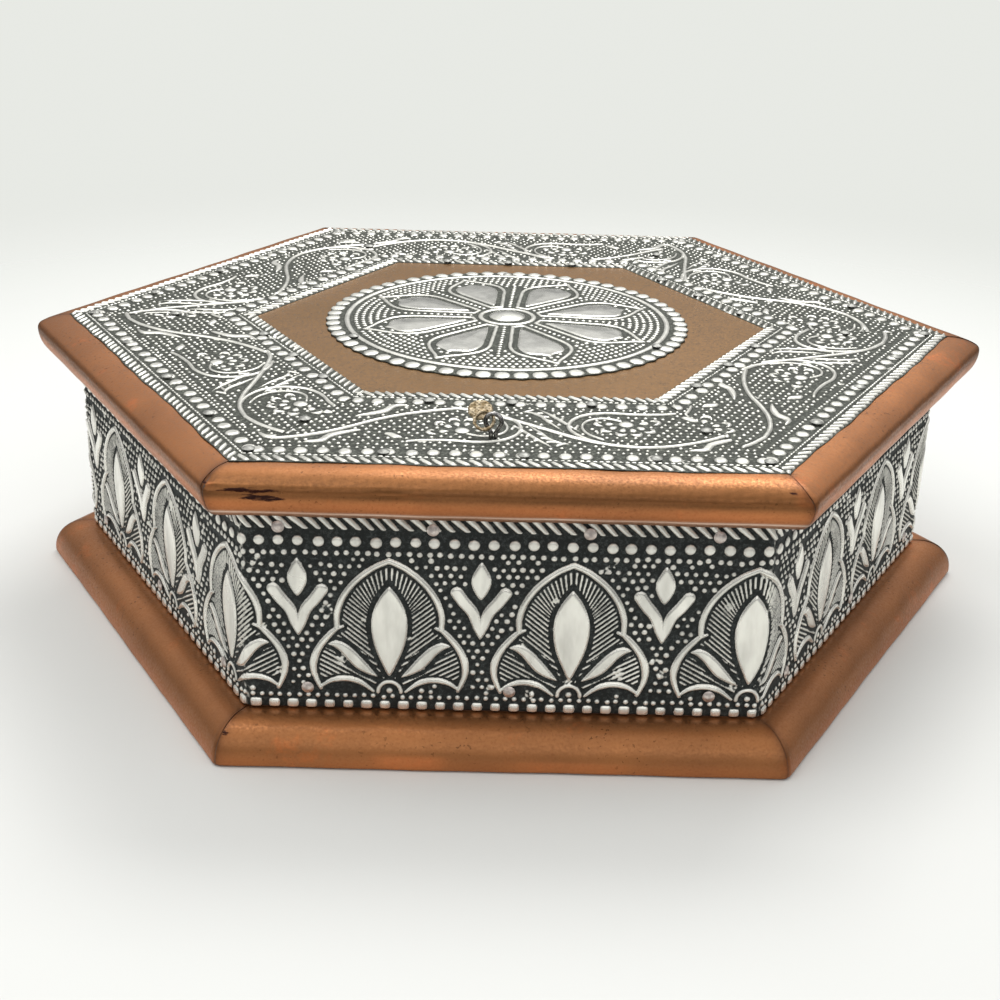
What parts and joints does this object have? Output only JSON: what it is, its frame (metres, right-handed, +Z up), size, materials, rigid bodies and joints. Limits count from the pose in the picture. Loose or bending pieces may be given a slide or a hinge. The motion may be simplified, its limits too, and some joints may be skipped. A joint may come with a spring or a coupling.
{
  "type": "hexagonal trinket box",
  "caption": "Six-sided wooden trinket box clad in copper and embossed white metal, with a hinged lid, a round medallion on it and a small brass drop pull.",
  "frame": {"origin": "centre of the hexagon, at the underside of the base", "axes": "+Z up, the front face with the pull towards -Y, corners of the hexagon on the X axis"},
  "size_m": [0.2502, 0.2166, 0.0761],
  "materials": {
    "wood": "plain dark-stained softwood boards, seen only inside the hinge gains and below",
    "copper": null,
    "white_metal": "thin embossed white-metal sheet with black patina in its hollows",
    "nail_metal": "small dull steel nails and screws",
    "dark_steel": "darkened bent steel wire",
    "brass": "worn hammered brass",
    "velvet": "short velvet over card"
  },
  "bodies": {
    "base": {"base_board": "wood", "base_edge_front": "copper", "base_edge_front_right": "copper", "base_edge_back_right": "copper", "base_edge_back": "copper", "base_edge_back_left": "copper", "base_edge_front_left": "copper", "wall_front": "wood", "wall_front_right": "wood", "wall_back_right": "wood", "wall_back": "wood", "wall_back_left": "wood", "wall_front_left": "wood", "wall_lining_front": "velvet", "wall_lining_front_right": "velvet", "wall_lining_back_right": "velvet", "wall_lining_back": "velvet", "wall_lining_back_left": "velvet", "wall_lining_front_left": "velvet", "floor_lining": "velvet", "band_front": "white_metal", "band_rear": "white_metal", "band_nails": "nail_metal", "hinge_left_wall_leaf": "brass", "hinge_right_wall_leaf": "brass", "hinge_left_pin": "dark_steel", "hinge_right_pin": "dark_steel", "hinge_wall_screws": "nail_metal"},
    "lid": {"lid_board": "wood", "lid_sheet": "copper", "lid_lining": "velvet", "medallion": "white_metal", "strip_nails": "nail_metal", "medallion_nails": "nail_metal", "pull_pin": "dark_steel", "hinge_left_lid_leaf": "brass", "hinge_right_lid_leaf": "brass", "hinge_lid_screws": "nail_metal", "lid_edge_front": "copper", "lid_edge_front_right": "copper", "lid_edge_back_right": "copper", "lid_edge_back": "copper", "lid_edge_back_left": "copper", "lid_edge_front_left": "copper", "lid_strip_front": "white_metal", "lid_strip_front_right": "white_metal", "lid_strip_back_right": "white_metal", "lid_strip_back": "white_metal", "lid_strip_back_left": "white_metal", "lid_strip_front_left": "white_metal"},
    "drop": {"pull_drop": "brass"}
  },
  "joints": [
    {"name": "lid_hinge", "type": "hinge", "parent": "base", "child": "lid", "pos_m": [0, 0.10063, 0.0587], "axis": [-1, 0, 0], "range_deg": [0, 105]},
    {"name": "pull_swing", "type": "hinge", "parent": "lid", "child": "drop", "pos_m": [-0.0036, -0.08373, 0.07265], "axis": [0.1736, 0.9848, 0], "range_deg": [0, 145]}
  ]
}
